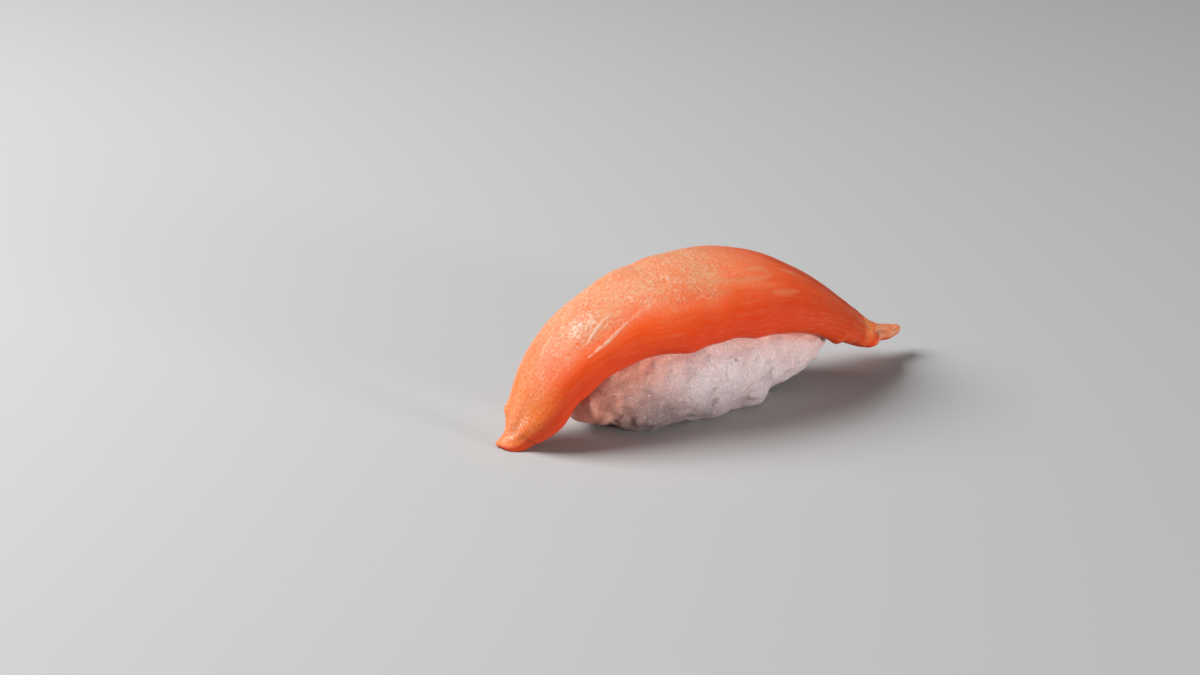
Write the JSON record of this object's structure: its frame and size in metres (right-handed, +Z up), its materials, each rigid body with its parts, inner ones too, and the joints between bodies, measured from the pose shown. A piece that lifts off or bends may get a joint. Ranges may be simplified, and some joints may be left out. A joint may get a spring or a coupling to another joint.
{
  "type": "salmon nigiri",
  "caption": "Salmon nigiri: a thick slice of raw salmon bent over a hand-pressed block of sushi rice, its foot on the board and its torn tail hanging free.",
  "frame": {"origin": "middle of the footprint of the whole piece, on the board it stands on", "axes": "+X along the slice, from the foot that lies on the board to the torn tail; +Z up"},
  "size_m": [0.0896, 0.0262, 0.0296],
  "materials": {
    "salmon": "moist, glossy raw fish",
    "rice": "moist, slightly translucent cooked rice"
  },
  "bodies": {
    "root": {"salmon_slice": "salmon", "sushi_rice": "rice"}
  },
  "joints": []
}
